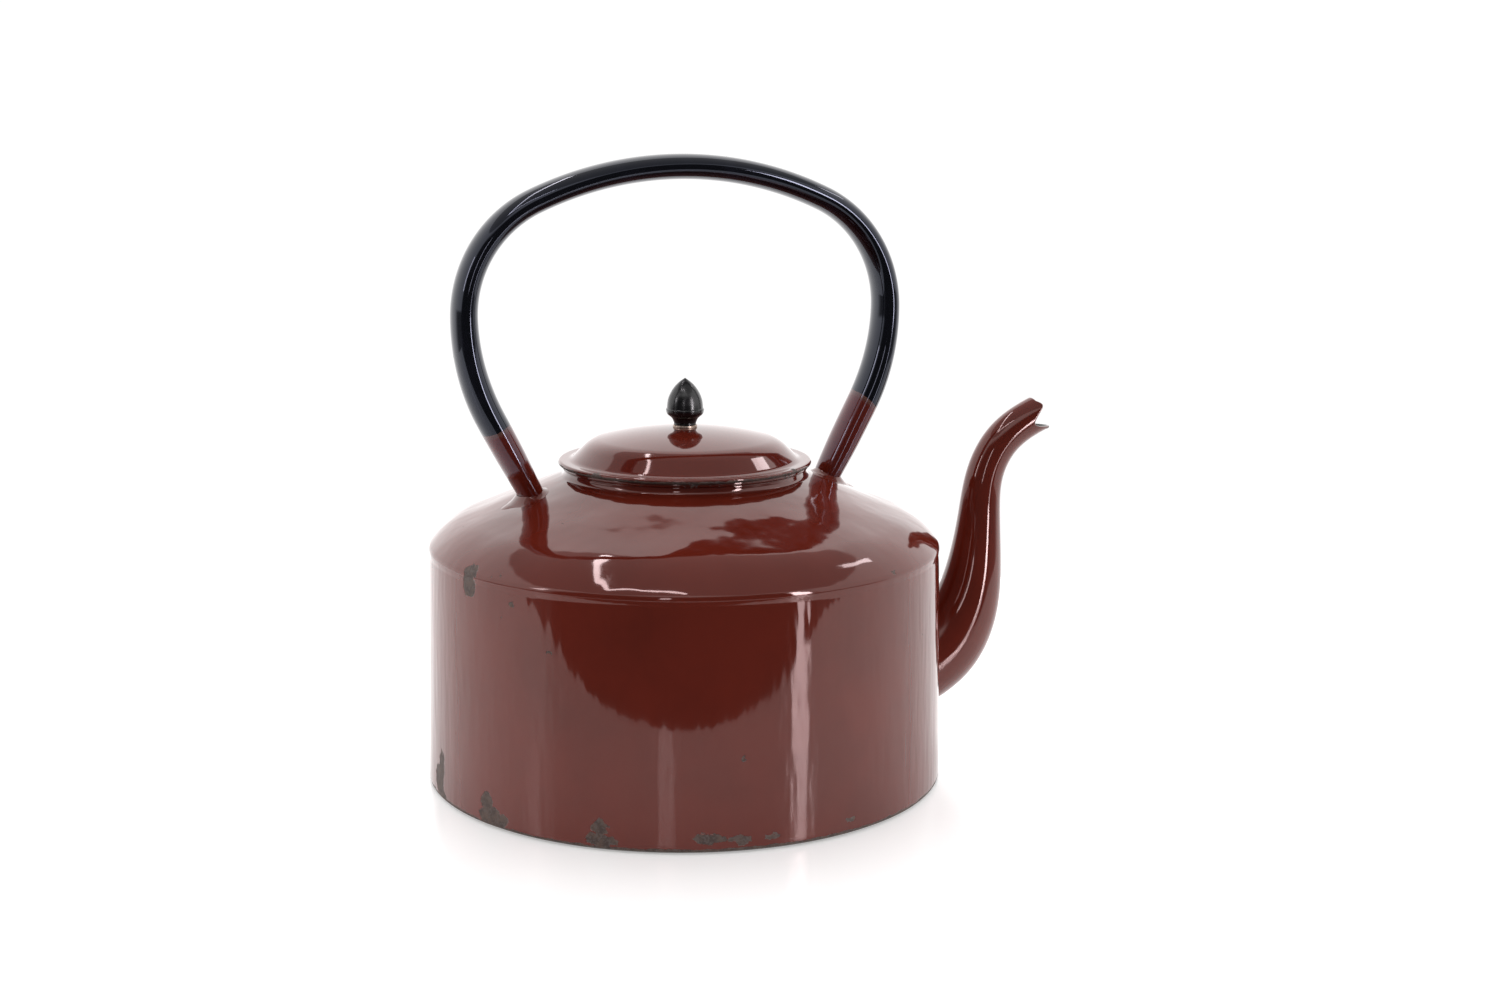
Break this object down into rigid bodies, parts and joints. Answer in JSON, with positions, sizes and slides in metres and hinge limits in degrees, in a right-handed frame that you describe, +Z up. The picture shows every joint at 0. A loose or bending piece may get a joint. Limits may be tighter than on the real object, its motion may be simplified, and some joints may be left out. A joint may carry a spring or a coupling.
{
  "type": "enamel kettle",
  "caption": "Enamelled sheet-steel water kettle with a swan-neck spout, fixed hoop handle and lift-off lid with an acorn knob.",
  "frame": {"origin": "centre of the flat base, on the surface the kettle stands on", "axes": "+Z up, +X towards the spout, the handle hoop in the XZ plane"},
  "size_m": [0.3135, 0.244, 0.2931],
  "materials": {
    "brown_enamel": "gloss",
    "black_enamel": "gloss",
    "knob_black": "satin",
    "bare_steel": "worn"
  },
  "bodies": {
    "kettle": {"body_wall": "brown_enamel", "base_plate": "brown_enamel", "shoulder_dome": "brown_enamel", "neck_collar": "brown_enamel", "spout_left_half": "brown_enamel", "spout_right_half": "brown_enamel", "handle_tube": "black_enamel", "handle_foot_front": "brown_enamel", "handle_foot_rear": "brown_enamel"},
    "lid": {"lid_shell": "brown_enamel", "lid_skirt": "brown_enamel", "knob": "knob_black", "knob_ferrule": "bare_steel", "screw_washer": "bare_steel", "knob_screw": "bare_steel"}
  },
  "joints": [
    {"name": "lid_lift", "type": "slide", "parent": "kettle", "child": "lid", "axis": [0, 0, 1], "range_m": [0, 0.07]}
  ]
}
